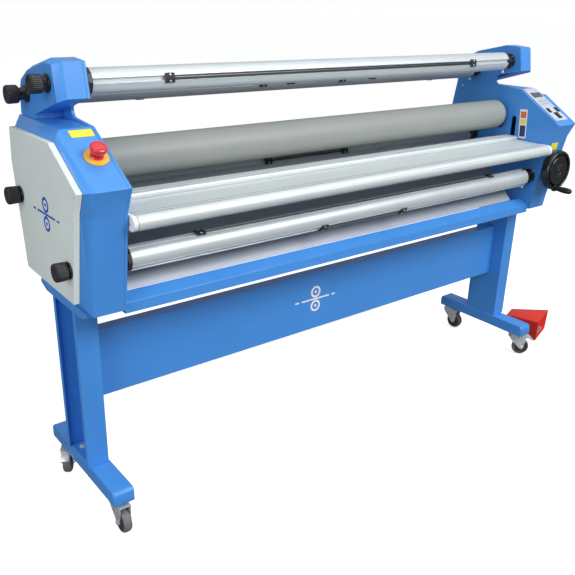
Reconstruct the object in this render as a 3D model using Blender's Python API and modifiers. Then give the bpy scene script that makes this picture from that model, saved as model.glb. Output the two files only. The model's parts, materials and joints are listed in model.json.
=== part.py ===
"""Cold roll laminator on a castored stand, with its loose foot switch.

Metres, +Z up, front at -Y. X runs along the rollers: side -1 is the end with the tension knobs, side +1 the end
with the control panel. Lengths below are given about the machine's own centre line; ORIGIN_SHIFT then puts the
origin in the middle of the footprint, on the floor.
"""
import math

import bmesh
import bpy
from mathutils import Matrix, Vector

# ---- driving dimensions -------------------------------------------------------------------------------------
GAP = 0.0003                 # running clearance between pieces that touch
ORIGIN_SHIFT = (-0.1159, 0.03425, -0.003)
INNER_X = 0.860              # inner face of each side plate
PLATE = 0.008                # side plate thickness
SHEET = 0.0022               # folded sheet metal
SHELL_X = INNER_X + PLATE + GAP
MAIN_X = 0.949               # where the housing starts its outer chamfer
RIM_X = 0.974                # outer rim of the housing
COVER_X = (0.9748, 0.9895)   # side cover
HEAD_MAIN_X = 0.918
HEAD_FACE_X = 0.940

ROLLER_Y = 0.010
ROLLER_R = 0.053
TOP_ROLLER_Z = 0.9985
NIP_OPEN = 0.0355
LOW_ROLLER_Z = TOP_ROLLER_Z - 2 * ROLLER_R - NIP_OPEN
ROLLER_HALF = 0.825
JOURNAL_R = 0.020

SHAFT_R = 0.0325
HUB_X = -0.8223              # inner face of each shaft's left hub
SHAFT_END = 0.811            # right end of each shaft's tube
SHAFT_AXES = {               # y, z of the four film shafts
    "upper_front": (0.000, 1.1955),
    "upper_rear": (0.150, 1.1555),
    "lower_front": (-0.158, 0.782),
    "lower_rear": (0.131, 0.905),
}

SLOT_TURN = {                # degrees from +Y to the first slot, seen from +X
    "upper_front": 175,
    "upper_rear": 185,
    "lower_front": 220,
    "lower_rear": 165,
}

TABLE_TOP = 0.911
BAR_Y = (-0.090, -0.035)
BAR_Z = (TABLE_TOP + GAP, 0.9243)
BAR_HALF = 0.850
SLOT_Y = (-0.067, -0.045)
SLOT_Z = (0.906, 0.997)

LEG_X = (0.8925, 0.9548)
LEG_Y = (-0.070, 0.076)
HOUSING_BOTTOM = 0.655
FOOT_X = (0.8868, 0.9494)
FOOT_HALF_Y = 0.2175
FOOT_Z = (0.1018, 0.1472)

FLOOR = 0.003
WHEEL_R = 0.035
CASTOR_TRAIL = 0.028
CASTORS = {                  # stem x, y and swivel angle in degrees; 0 trails to the front
    "front_left": (-0.918, -0.172, 0.0),
    "rear_left": (-0.918, 0.176, -32.0),
    "front_right": (0.918, -0.172, 51.0),
    "rear_right": (0.918, 0.180, 6.0),
}
BRAKED = ("rear_left", "front_right")

WHEEL_CENTRE = (0.905, 0.815)    # handwheel x, z
HANDWHEEL_R = 0.075
HANDWHEEL_Y = (-0.2225, -0.2575)

SLOPE_TOP = (-0.066, 1.0975)
SLOPE_NOSE = (-0.254, 0.985)

# outlines as (y, z), running round so that they are counter-clockwise seen from +X
HOUSING_MAIN = [SLOPE_TOP, SLOPE_NOSE, (-0.222, 0.917), (-0.183, HOUSING_BOTTOM), (0.215, HOUSING_BOTTOM),
                (0.255, 0.990), (0.238, 1.0975)]
HOUSING_SHOULDER = HOUSING_MAIN[:4] + [(0.190, HOUSING_BOTTOM), (0.215, 0.990), (0.199, 1.0975)]
HOUSING_RIM = [(-0.0965, 1.0745), (-0.2405, 0.984), (-0.2155, 0.932), (-0.1665, 0.695), (0.143, 0.700),
               (0.178, 0.988), (0.167, 1.0745)]
HEAD_MAIN = [(0.022, 1.2515), (-0.0415, 1.2470), (-0.0575, 1.1625), (0.100, 1.112), (0.100, 1.0978),
             (0.236, 1.0978), (0.232, 1.158), (0.212, 1.193), (0.150, 1.2225)]
HEAD_FACE = [(0.014, 1.242), (-0.031, 1.2400), (-0.046, 1.155), (0.107, 1.109), (0.107, 1.0978),
             (0.210, 1.0978), (0.204, 1.156), (0.185, 1.187), (0.136, 1.2125)]
NOTCH_CENTRE = (0.032, 1.1225)
NOTCH_R = 0.018

BLUE = (0.045, 0.235, 0.640)
COVER_GREY = (0.560, 0.610, 0.600)
ALUMINIUM = (0.780, 0.800, 0.820)
SILICONE = (0.420, 0.440, 0.420)
BLACK = (0.018, 0.018, 0.020)
STEEL = (0.480, 0.500, 0.520)
RED = (0.680, 0.040, 0.030)
ORANGE = (0.900, 0.500, 0.060)
WHITE = (0.820, 0.830, 0.840)
WHEEL_GREY = (0.200, 0.190, 0.200)


# ---- helpers ------------------------------------------------------------------------------------------------
def new_collection(name):
    made = bpy.data.collections.new(name)
    bpy.context.scene.collection.children.link(made)
    return made


def make_material(name, colour, roughness, metallic):
    made = bpy.data.materials.new(name)
    made.use_nodes = True
    shader = made.node_tree.nodes["Principled BSDF"]
    shader.inputs["Base Color"].default_value = (*colour, 1.0)
    shader.inputs["Roughness"].default_value = roughness
    shader.inputs["Metallic"].default_value = metallic
    return made


def finish(obj, look, parent=None):
    """Gives a sub-part its own material, puts it in the collection and smooths its round faces."""
    colour, roughness, metallic = look
    obj.data.materials.append(make_material(obj.name + "_paint", colour, roughness, metallic))
    PARTS.objects.link(obj)
    obj.data.shade_smooth()
    obj.data.set_sharp_from_angle(angle=math.radians(28))
    obj.parent = parent or ROOT
    return obj


def as_cutter(obj, parent=None):
    CUTTERS.objects.link(obj)
    obj.hide_render = True
    obj.display_type = "WIRE"
    obj.parent = parent or ROOT
    return obj


def boolean(obj, other, operation):
    step = obj.modifiers.new(operation.lower(), "BOOLEAN")
    step.operation = operation
    step.solver = "EXACT"
    step.object = other


def bevel(obj, width, segments=2, angle=35):
    step = obj.modifiers.new("bevel", "BEVEL")
    step.width = width
    step.segments = segments
    step.limit_method = "ANGLE"
    step.angle_limit = math.radians(angle)


def box(name, low, high):
    mesh = bpy.data.meshes.new(name)
    build = bmesh.new()
    bmesh.ops.create_cube(build, size=1.0)
    size = [high[i] - low[i] for i in range(3)]
    bmesh.ops.scale(build, vec=Vector(size), verts=build.verts)
    build.to_mesh(mesh)
    build.free()
    obj = bpy.data.objects.new(name, mesh)
    obj.location = [(high[i] + low[i]) / 2 for i in range(3)]
    return obj


AXIS_TURN = {"X": Matrix.Rotation(math.pi / 2, 4, "Y"), "Y": Matrix.Rotation(-math.pi / 2, 4, "X"),
             "Z": Matrix.Identity(4)}


def cylinder(name, radius, start, end, centre, axis="X", sides=32):
    """A cylinder from start to end along the axis; centre holds the other two coordinates in X, Y, Z order."""
    mesh = bpy.data.meshes.new(name)
    build = bmesh.new()
    bmesh.ops.create_cone(build, cap_ends=True, segments=sides, radius1=radius, radius2=radius,
                          depth=abs(end - start), matrix=AXIS_TURN[axis])
    build.to_mesh(mesh)
    build.free()
    obj = bpy.data.objects.new(name, mesh)
    place = list(centre)
    place.insert("XYZ".index(axis), (start + end) / 2)
    obj.location = place
    return obj


PLANE_TURN = {"YZ": (math.pi / 2, 0.0, math.pi / 2), "XZ": (math.pi / 2, 0.0, 0.0), "XY": (0.0, 0.0, 0.0)}


def outline_solid(name, outlines, start, end, plane="YZ", at=(0.0, 0.0)):
    """A flat outline, with holes if it has more than one ring, extruded from start to end across its plane."""
    curve = bpy.data.curves.new(name, "CURVE")
    curve.dimensions = "2D"
    curve.fill_mode = "BOTH"
    curve.extrude = abs(end - start) / 2
    for ring in outlines:
        spline = curve.splines.new("POLY")
        spline.points.add(len(ring) - 1)
        for point, (u, v) in zip(spline.points, ring):
            point.co = (u, v, 0.0, 1.0)
        spline.use_cyclic_u = True
    guide = bpy.data.objects.new(name + "_outline", curve)
    middle = (start + end) / 2
    guide.rotation_euler = PLANE_TURN[plane]
    places = {"YZ": (middle, at[0], at[1]), "XZ": (at[0], middle, at[1]), "XY": (at[0], at[1], middle)}
    guide.location = places[plane]
    bpy.context.scene.collection.objects.link(guide)
    bpy.context.view_layer.update()
    evaluated = guide.evaluated_get(bpy.context.evaluated_depsgraph_get())
    mesh = bpy.data.meshes.new_from_object(evaluated)
    build = bmesh.new()
    build.from_mesh(mesh)
    bmesh.ops.remove_doubles(build, verts=build.verts, dist=0.000002)
    bmesh.ops.dissolve_limit(build, angle_limit=0.001, verts=build.verts, edges=build.edges)
    build.to_mesh(mesh)
    build.free()
    mesh.name = name
    obj = bpy.data.objects.new(name, mesh)
    obj.matrix_world = guide.matrix_world.copy()
    bpy.data.objects.remove(guide)
    bpy.data.curves.remove(curve)
    return obj


def turned(name, profile, axis="X", steps=40):
    """A turned solid. The profile is (radius, distance along the axis) from its high end to its low end."""
    mesh = bpy.data.meshes.new(name)
    build = bmesh.new()
    points = [build.verts.new((radius, 0.0, along)) for radius, along in profile]
    for first, second in zip(points, points[1:]):
        build.edges.new((first, second))
    build.to_mesh(mesh)
    build.free()
    obj = bpy.data.objects.new(name, mesh)
    screw = obj.modifiers.new("screw", "SCREW")
    screw.steps = steps
    screw.render_steps = steps
    screw.use_merge_vertices = True
    screw.merge_threshold = 0.00001
    obj.rotation_euler = AXIS_TURN[axis].to_euler()
    return obj


def turned_ring(name, profile, axis="X", steps=40):
    """A turned ring with a bore: the closed profile starts at the outer top and returns along the bore."""
    obj = turned(name, profile + profile[:1], axis, steps)
    return obj


def lofted_shell(name, side, sections, thickness, closed_end):
    """Sheet metal round sections of (x, outline); closed_end adds the outer face."""
    mesh = bpy.data.meshes.new(name)
    build = bmesh.new()
    rings = []
    for x, outline in sections:
        rings.append([build.verts.new((side * x, y, z)) for y, z in outline])
    count = len(rings[0])
    for inner, outer in zip(rings, rings[1:]):
        for i in range(count):
            j = (i + 1) % count
            corners = [inner[i], inner[j], outer[j], outer[i]]
            build.faces.new(corners if side > 0 else corners[::-1])
    if closed_end:
        build.faces.new(rings[-1] if side > 0 else rings[-1][::-1])
    build.to_mesh(mesh)
    build.free()
    obj = bpy.data.objects.new(name, mesh)
    wall = obj.modifiers.new("wall", "SOLIDIFY")
    wall.thickness = thickness
    wall.offset = -1.0
    wall.use_even_offset = True
    return obj


def arc(centre, radius, start, end, count):
    """Points on an arc in degrees, both ends included."""
    points = []
    for i in range(count):
        angle = math.radians(start + (end - start) * i / (count - 1))
        points.append((centre[0] + radius * math.cos(angle), centre[1] + radius * math.sin(angle)))
    return points


def rounded_rectangle(low, high, radius, count=5):
    corners = [((high[0] - radius, high[1] - radius), 0), ((low[0] + radius, high[1] - radius), 90),
               ((low[0] + radius, low[1] + radius), 180), ((high[0] - radius, low[1] + radius), 270)]
    points = []
    for centre, turn in corners:
        points += arc(centre, radius, turn, turn + 90, count)
    return points


def empty(name, location, turn=(0.0, 0.0, 0.0), parent=None):
    made = bpy.data.objects.new(name, None)
    made.empty_display_size = 0.03
    made.location = location
    made.rotation_euler = turn
    PARTS.objects.link(made)
    made.parent = parent
    return made


# ---- stand --------------------------------------------------------------------------------------------------
def side_name(side):
    return "left" if side < 0 else "right"


def make_leg(side):
    lip = 0.014
    wall = 0.003
    x0, x1 = LEG_X
    y0, y1 = LEG_Y
    section = [(x0, y0), (x1, y0), (x1, y0 + lip), (x1 - wall, y0 + lip), (x1 - wall, y0 + wall),
               (x0 + wall, y0 + wall), (x0 + wall, y1 - wall), (x1 - wall, y1 - wall), (x1 - wall, y1 - lip),
               (x1, y1 - lip), (x1, y1), (x0, y1)]
    section = [(side * x, y) for x, y in section]
    name = side_name(side) + "_leg"
    leg = outline_solid(name, [section], FOOT_Z[1] + GAP, 0.635, "XY")
    top = HOUSING_BOTTOM - GAP
    head = [(-0.152, top), (-0.152, 0.643), (-0.116, 0.629), (0.119, 0.629), (0.155, 0.643), (0.155, top)]
    inner, outer = sorted((side * x0, side * x1))
    boolean(leg, as_cutter(outline_solid(name + "_head", [head], inner, outer)), "UNION")
    return finish(leg, (BLUE, 0.45, 0.1))


def make_foot_bar(side):
    r = 0.016
    ends = [(FOOT_HALF_Y - r, FOOT_Z[1] - r, 0, 90), (-FOOT_HALF_Y + r, FOOT_Z[1] - r, 90, 180)]
    outline = [(-FOOT_HALF_Y, FOOT_Z[0]), (FOOT_HALF_Y, FOOT_Z[0])]
    for y, z, start, end in ends:
        outline += arc((y, z), r, start, end, 5)
    x0, x1 = sorted((side * FOOT_X[0], side * FOOT_X[1]))
    bar = outline_solid(side_name(side) + "_foot_bar", [outline], x0, x1)
    bevel(bar, 0.004, 2, 50)
    return finish(bar, (BLUE, 0.45, 0.1))


def make_channel(name, outline, half):
    return finish(outline_solid(name, [outline], -half, half), (BLUE, 0.45, 0.1))


def make_cross_members():
    t = 0.0025
    y, z0, z1, back = -0.017, 0.332, 0.537, 0.024
    make_channel("modesty_panel", [(y, z0), (back, z0), (back, z0 + t), (y + t, z0 + t), (y + t, z1 - t),
                                   (back, z1 - t), (back, z1), (y, z1)], LEG_X[0] - GAP)
    make_channel("front_beam", [(-0.141, 0.690), (-0.172, 0.669), (-0.172, 0.640), (-0.110, 0.640),
                                (-0.110, 0.6425), (-0.1695, 0.6425), (-0.1695, 0.6680), (-0.1395, 0.6880)],
                 INNER_X - GAP)
    beam = [rounded_rectangle((0.120, 0.668), (0.170, 0.708), 0.004, 3)]
    beam.append(rounded_rectangle((0.123, 0.671), (0.167, 0.705), 0.002, 2))
    finish(outline_solid("rear_beam", beam, -INNER_X + GAP, INNER_X - GAP), (BLUE, 0.45, 0.1))
    tray = [(-0.1428, 0.6921), (-0.1414, 0.6907), (-0.0316, 0.8001), (-0.0330, 0.8015)]
    finish(outline_solid("film_tray", [tray], -INNER_X + GAP, 0.785), (ALUMINIUM, 0.35, 0.6))


# ---- side housings ------------------------------------------------------------------------------------------
def plate_outline():
    notch = arc(NOTCH_CENTRE, NOTCH_R, 90, -90, 9)
    return HOUSING_MAIN + HEAD_MAIN[6:] + HEAD_MAIN[:3] + notch


def cut_hole(obj, name, radius, centre, x0, x1, sides=28):
    boolean(obj, as_cutter(cylinder(name, radius, x0, x1, centre, "X", sides)), "DIFFERENCE")


def make_side_plate(side):
    name = side_name(side) + "_side_plate"
    x0, x1 = sorted((side * INNER_X, side * (INNER_X + PLATE)))
    r = (SLOT_Y[1] - SLOT_Y[0]) / 2
    slot_y = (SLOT_Y[0] + SLOT_Y[1]) / 2
    bar_slot = arc((slot_y, SLOT_Z[1] - r), r, 0, 180, 7) + arc((slot_y, SLOT_Z[0] + r), r, 180, 360, 7)
    slot_r = JOURNAL_R + 0.001
    roller_slot = arc((ROLLER_Y, TOP_ROLLER_Z), slot_r, 0, 180, 11)
    roller_slot += arc((ROLLER_Y, TOP_ROLLER_Z - NIP_OPEN), slot_r, 180, 360, 11)
    low_hole = arc((ROLLER_Y, LOW_ROLLER_Z), slot_r - 0.0005, 0, 345, 24)
    rings = [plate_outline(), bar_slot, roller_slot, low_hole]
    if side < 0:
        rings += [arc(axis, 0.0122, 0, 330, 12) for axis in SHAFT_AXES.values()]
    plate = outline_solid(name, rings, x0, x1)
    finish(plate, (BLUE, 0.45, 0.1))


def make_housing(side):
    name = side_name(side)
    shell = lofted_shell(name + "_housing_shell", side,
                         [(SHELL_X, HOUSING_MAIN), (SHELL_X + 0.004, HOUSING_MAIN), (MAIN_X, HOUSING_SHOULDER),
                          (RIM_X, HOUSING_RIM)], SHEET, False)
    finish(shell, (BLUE, 0.45, 0.1))
    head = lofted_shell(name + "_head_shell", side,
                        [(SHELL_X, HEAD_MAIN), (HEAD_MAIN_X, HEAD_MAIN), (HEAD_FACE_X, HEAD_FACE)], SHEET, True)
    cover = lofted_shell(name + "_side_cover", side, [(COVER_X[0], HOUSING_RIM), (COVER_X[1], HOUSING_RIM)],
                         0.0016, True)
    if side > 0:
        hole = cylinder("handwheel_hole", 0.0085, -0.23, -0.18, WHEEL_CENTRE, "Y", 24)
        boolean(shell, as_cutter(hole), "DIFFERENCE")
    else:
        for key, (y, z) in SHAFT_AXES.items():
            target, x = (head, HEAD_FACE_X) if key.startswith("upper") else (cover, COVER_X[1])
            cut_hole(target, key + "_spindle_hole", 0.0064, (y, z), -x - 0.01, -x + 0.01, 20)
    finish(head, (BLUE, 0.45, 0.1))
    finish(cover, (COVER_GREY, 0.5, 0.0))


# ---- rollers and shafts -------------------------------------------------------------------------------------
def roller_profile(reach):
    edge = 0.004
    half = [(JOURNAL_R, ROLLER_HALF), (ROLLER_R - edge, ROLLER_HALF), (ROLLER_R, ROLLER_HALF - edge)]
    top = [(0.0, reach), (JOURNAL_R, reach)] + half
    return top + [(radius, -along) for radius, along in reversed(top)]


def make_rollers():
    for name, z, reach in (("top_roller", TOP_ROLLER_Z, 0.893), ("lower_roller", LOW_ROLLER_Z, 0.905)):
        roller = turned(name, roller_profile(reach), "X", 32)
        roller.location = (0.0, ROLLER_Y, z)
        finish(roller, (SILICONE, 0.55, 0.0))


def make_bearing_block(side):
    name = side_name(side) + "_bearing_block"
    x0, x1 = sorted((side * (SHELL_X + 0.001), side * 0.8935))
    block = box(name, (x0, ROLLER_Y - 0.036, TOP_ROLLER_Z - 0.030),
                (x1, ROLLER_Y + 0.036, TOP_ROLLER_Z + 0.030))
    screw_x = (x0 + x1) / 2
    boolean(block, as_cutter(cylinder(name + "_screw", 0.007, TOP_ROLLER_Z + 0.025, 1.088,
                                      (screw_x, ROLLER_Y), "Z", 20)), "UNION")
    cut_hole(block, name + "_bore", JOURNAL_R + GAP, (ROLLER_Y, TOP_ROLLER_Z), x0 - 0.01, x1 + 0.01, 24)
    finish(block, (STEEL, 0.4, 0.9))


def shaft_section(first_slot):
    """Round tube outline with three open slots along it, 120 degrees apart."""
    slot_depth = 0.007
    slot_half = 0.0060
    edge = math.degrees(math.asin(slot_half / SHAFT_R))
    points = []
    for turn in (first_slot, first_slot + 120, first_slot + 240):
        points += arc((0.0, 0.0), SHAFT_R, turn - 120 + edge, turn - edge, 8)
        bottom = SHAFT_R * math.cos(math.radians(edge)) - slot_depth
        for across in (-slot_half, slot_half):
            angle = math.radians(turn)
            points.append((bottom * math.cos(angle) - across * math.sin(angle),
                           bottom * math.sin(angle) + across * math.cos(angle)))
    return points


def make_shaft(key):
    y, z = SHAFT_AXES[key]
    shaft = outline_solid(key + "_shaft", [shaft_section(SLOT_TURN[key])], HUB_X, SHAFT_END, "YZ", (y, z))
    core = turned(key + "_shaft_ends", [(0.0, 0.852), (0.010, 0.852), (0.010, HUB_X + 0.003),
                                        (0.0365, HUB_X + 0.001), (0.0365, -0.8575),
                                        (0.0115, -0.8575), (0.0115, -0.885), (0.0, -0.885)],
                  "X", 24)
    core.location = (0.0, y, z)
    boolean(shaft, as_cutter(core), "UNION")
    finish(shaft, (ALUMINIUM, 0.3, 0.8))


def make_knob(key):
    y, z = SHAFT_AXES[key]
    face = HEAD_FACE_X if key.startswith("upper") else COVER_X[1]
    start = face + GAP
    neck = {"upper_rear": 0.018, "upper_front": 0.010}.get(key, 0.002)
    body = start + 0.0055 + neck
    end = body + 0.030
    shape = [(0.0058, 0.886), (0.0058, start), (0.0225, start), (0.0225, start + 0.005), (0.0155, start + 0.005),
             (0.0155, body), (0.0225, body), (0.0232, end - 0.002), (0.0215, end)]
    profile = [(0.0, -0.886)] + [(radius, -along) for radius, along in shape] + [(0.0, -end)]
    knob = turned(key + "_tension_knob", profile, "X", 22)
    knob.location = (0.0, y, z)
    finish(knob, (BLACK, 0.4, 0.0))


def make_seat(key):
    """Right-hand seat that takes the shaft's journal, with the sprung pin below it."""
    y, z = SHAFT_AXES[key]
    x0, x1 = SHAFT_END + 0.0025, INNER_X - GAP
    seat = cylinder(key + "_shaft_seat", 0.0265, x0, x1, (y, z), "X", 24)
    cut_hole(seat, key + "_seat_bore", 0.0103, (y, z), x0 - 0.01, x1 - 0.004, 24)
    pin_x = x0 + 0.012
    boolean(seat, as_cutter(cylinder(key + "_pin_hole", 0.0043, z - 0.035, z - 0.0155, (pin_x, y), "Z", 12)),
            "DIFFERENCE")
    finish(seat, (BLACK, 0.5, 0.0))
    pin = turned(key + "_latch_pin", [(0.0, -0.0165), (0.0038, -0.0165), (0.0038, -0.036), (0.0058, -0.0365),
                                      (0.0058, -0.043), (0.0, -0.043)], "Z", 12)
    pin.location = (pin_x, y, z)
    finish(pin, (STEEL, 0.2, 1.0))


# ---- table, bar, handwheel ----------------------------------------------------------------------------------
def make_table():
    nose = (-0.224, 0.8915)
    radius = TABLE_TOP - nose[1]
    groove_y = (-0.0940, -0.0955)
    groove_bottom = TABLE_TOP - 0.0012
    outline = [(-0.0505, TABLE_TOP), (groove_y[0], TABLE_TOP), (groove_y[0], groove_bottom),
               (groove_y[1], groove_bottom), (groove_y[1], TABLE_TOP)] + arc(nose, radius, 90, 270, 13)
    outline += [(-0.196, nose[1] - radius), (-0.196, TABLE_TOP - 0.006), (-0.0505, TABLE_TOP - 0.006)]
    finish(outline_solid("feed_table", [outline], -INNER_X + 0.004, INNER_X - 0.004), (ALUMINIUM, 0.35, 0.6))
    plan = rounded_rectangle((-BAR_HALF, BAR_Y[0]), (BAR_HALF, BAR_Y[1]), 0.010)
    bar = outline_solid("hold_down_bar", [plan], BAR_Z[0], BAR_Z[1], "XY")
    pin_z = (BAR_Z[0] + BAR_Z[1]) / 2
    slot_y = (SLOT_Y[0] + SLOT_Y[1]) / 2
    pins = cylinder("hold_down_bar_pins", 0.0055, -0.866, 0.866, (slot_y, pin_z), "X", 16)
    boolean(bar, as_cutter(pins), "UNION")
    finish(bar, (ALUMINIUM, 0.35, 0.6))


def make_handwheel():
    x, z = WHEEL_CENTRE
    back, face = HANDWHEEL_Y
    boss = -0.2110
    inside = -0.190
    r = HANDWHEEL_R
    shape = [(0.0078, inside), (0.0078, boss), (0.016, boss), (0.016, back), (r - 0.006, back),
             (r, back - 0.006), (r, face + 0.006), (r - 0.006, face), (r - 0.014, face),
             (r - 0.022, face + 0.012), (0.020, face + 0.010), (0.014, face - 0.002)]
    profile = [(0.0, inside)] + shape + [(0.0, face - 0.002)]
    wheel = turned("handwheel", profile, "Y", 32)
    wheel.location = (x, 0.0, z)
    finish(wheel, (BLACK, 0.35, 0.0))
    grip_profile = [(0.0, face - GAP), (0.008, face - GAP), (0.0095, face - 0.012), (0.0115, face - 0.040),
                    (0.0105, face - 0.060), (0.006, face - 0.065), (0.0, face - 0.066)]
    grip = turned("handwheel_grip", grip_profile, "Y", 16)
    grip.location = (x - 0.006, 0.0, z - r + 0.0075)
    finish(grip, (BLACK, 0.35, 0.0))


# ---- controls -----------------------------------------------------------------------------------------------
def slope_empty(name, x, distance):
    """An empty on the sloped face: local X along the machine, local Y up the slope, local Z out of it."""
    run = Vector((0.0, SLOPE_TOP[0] - SLOPE_NOSE[0], SLOPE_TOP[1] - SLOPE_NOSE[1])).normalized()
    place = Vector((x, SLOPE_TOP[0], SLOPE_TOP[1])) - run * distance
    return empty(name, place, (math.atan2(run.z, run.y), 0.0, 0.0), ROOT)


def make_controls():
    frame = slope_empty("control_panel_place", 0.9070, 0.098)
    panel = outline_solid("control_panel", [rounded_rectangle((-0.038, -0.094), (0.041, 0.094), 0.004, 3)],
                          GAP, 0.0033, "XY")
    display = outline_solid("display_window", [rounded_rectangle((-0.024, 0.040), (0.032, 0.066), 0.002, 3)],
                            0.0036, 0.0056, "XY")
    rockers = {"forward_rocker": (-0.019, -0.036, 0.0055, 0.010),
               "reverse_rocker": (0.031, -0.036, 0.0055, 0.010),
               "power_rocker": (0.004, -0.067, 0.009, 0.014)}
    for name, (x, y, half_x, half_y) in rockers.items():
        hole = box(name + "_hole", (x - half_x - 0.0008, y - half_y - 0.0008, -0.01),
                   (x + half_x + 0.0008, y + half_y + 0.0008, 0.01))
        boolean(panel, as_cutter(hole, frame), "DIFFERENCE")
        crown = [(-half_y + 0.0004, 0.0022), (0.0, 0.0016), (half_y - 0.0004, 0.0022), (half_y - 0.0004, 0.0070),
                 (0.0, 0.0056), (-half_y + 0.0004, 0.0070)]
        rocker = outline_solid(name, [crown], x - half_x, x + half_x, "YZ", (y, 0.0))
        finish(rocker, (BLACK, 0.35, 0.0), frame)
    finish(panel, (WHITE, 0.5, 0.0), frame)
    finish(display, (BLACK, 0.1, 0.0), frame)
    stop = slope_empty("emergency_stop_place", -0.900, 0.107)
    base = turned("emergency_stop_base", [(0.0, 0.010), (0.0145, 0.010), (0.0150, 0.0045), (0.0290, 0.0035),
                                          (0.0300, GAP), (0.0, GAP)], "Z", 24)
    finish(base, (ORANGE, 0.4, 0.0), stop)
    button = turned("emergency_stop_button", [(0.0, 0.0360), (0.013, 0.0355), (0.0190, 0.033), (0.0205, 0.028),
                                              (0.0185, 0.0185), (0.0125, 0.0180), (0.0120, 0.0165), (0.0, 0.0165)],
                    "Z", 24)
    finish(button, (RED, 0.35, 0.0), stop)
    motor = cylinder("drive_motor", 0.046, 0.8715, 0.9430, (0.120, 0.750), "X", 24)
    finish(motor, (BLACK, 0.5, 0.3))


# ---- castors ------------------------------------------------------------------------------------------------
def make_castor(key):
    x, y, turn = CASTORS[key]
    frame = empty(key + "_castor_place", (x, y, 0.0), (0.0, 0.0, math.radians(turn)), ROOT)
    top = FOOT_Z[0] - GAP
    axle = (-CASTOR_TRAIL, FLOOR + WHEEL_R)
    cheek = arc(axle, 0.010, 180, 300, 5) + [(0.022, 0.076), (0.024, 0.092), (-0.046, 0.092), (-0.044, 0.076)]
    fork = outline_solid(key + "_castor_fork", [cheek], -0.0175, 0.0175)
    slot = box(key + "_fork_slot", (-0.0145, -0.08, 0.0), (0.0145, 0.06, 0.0885))
    boolean(fork, as_cutter(slot, frame), "DIFFERENCE")
    swivel = turned(key + "_fork_swivel", [(0.0, top), (0.026, top), (0.026, top - 0.004), (0.019, top - 0.0065),
                                           (0.019, 0.0895), (0.0, 0.0895)], "Z", 20)
    boolean(fork, as_cutter(swivel, frame), "UNION")
    axle_rod = cylinder(key + "_axle", 0.0045, -0.0205, 0.0205, axle, "X", 12)
    boolean(fork, as_cutter(axle_rod, frame), "UNION")
    finish(fork, (STEEL, 0.25, 0.9), frame)
    r = WHEEL_R
    tread = [(r - 0.004, 0.0120), (r, 0.0075), (r, -0.0075), (r - 0.004, -0.0120), (0.012, -0.0138),
             (0.0052, -0.0138), (0.0052, 0.0138), (0.012, 0.0138)]
    wheel = turned_ring(key + "_castor_wheel", tread, "X", 28)
    wheel.location = (0.0, axle[0], axle[1])
    finish(wheel, (WHEEL_GREY, 0.5, 0.0), frame)
    if key in BRAKED:
        lever = [(-0.0475, 0.0800), (-0.0475, 0.0905), (-0.0560, 0.0905), (-0.0800, 0.0700), (-0.0760, 0.0670),
                 (-0.0560, 0.0780)]
        pedal = outline_solid(key + "_brake_pedal", [lever], -0.0130, 0.0130)
        bevel(pedal, 0.0012, 2, 40)
        finish(pedal, (STEEL, 0.25, 0.9), frame)


# ---- foot switch --------------------------------------------------------------------------------------------
def wedge(name, base, top):
    """A box whose base and top are both trapezoids.

    Each is (front half-width, front y, back half-width, back y, front z, back z)."""
    obj = box(name, (-1.0, -1.0, -1.0), (1.0, 1.0, 1.0))
    obj.location = (0.0, 0.0, 0.0)
    for corner in obj.data.vertices:
        front_half, front_y, back_half, back_y, front_z, back_z = base if corner.co.z < 0 else top
        half, y, z = (front_half, front_y, front_z) if corner.co.y < 0 else (back_half, back_y, back_z)
        corner.co = (math.copysign(half, corner.co.x), y, z)
    return obj


def make_foot_switch():
    frame = empty("foot_switch_place", (1.152, -0.060, 0.0), (0.0, 0.0, math.radians(19)), ROOT)
    hood = wedge("foot_switch_hood", (0.080, -0.080, 0.052, 0.085, FLOOR, FLOOR),
                 (0.086, -0.082, 0.040, 0.072, 0.096, 0.078))
    mouth = wedge("foot_switch_mouth", (0.0755, -0.100, 0.044, 0.055, FLOOR + 0.009, FLOOR + 0.009),
                  (0.0830, -0.100, 0.036, 0.050, 0.0955, 0.072))
    boolean(hood, as_cutter(mouth, frame), "DIFFERENCE")
    bevel(hood, 0.0025, 2, 50)
    finish(hood, (RED, 0.4, 0.0), frame)
    tongue = [(-0.076, 0.0190), (0.036, 0.0260), (0.038, 0.0310), (0.032, 0.0330), (-0.076, 0.0250)]
    pedal = outline_solid("foot_switch_pedal", [tongue], -0.040, 0.040)
    bevel(pedal, 0.0015, 2, 50)
    finish(pedal, (STEEL, 0.3, 0.9), frame)


# ---- build --------------------------------------------------------------------------------------------------
for old in list(bpy.data.objects):
    bpy.data.objects.remove(old, do_unlink=True)

PARTS = new_collection("cold_roll_laminator")
CUTTERS = new_collection("cutters")
ROOT = empty("machine", ORIGIN_SHIFT)

make_cross_members()
for SIDE in (-1, 1):
    make_leg(SIDE)
    make_foot_bar(SIDE)
    make_side_plate(SIDE)
    make_housing(SIDE)
    make_bearing_block(SIDE)
make_rollers()
for KEY in SHAFT_AXES:
    make_shaft(KEY)
    make_knob(KEY)
    make_seat(KEY)
make_table()
make_handwheel()
make_controls()
for KEY in CASTORS:
    make_castor(KEY)
make_foot_switch()
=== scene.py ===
"""Looks for the cold roll laminator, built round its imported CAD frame. Metres, +Z up, front at -Y."""
import json
import math

import bmesh
import bpy
from mathutils import Matrix, Vector


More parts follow.
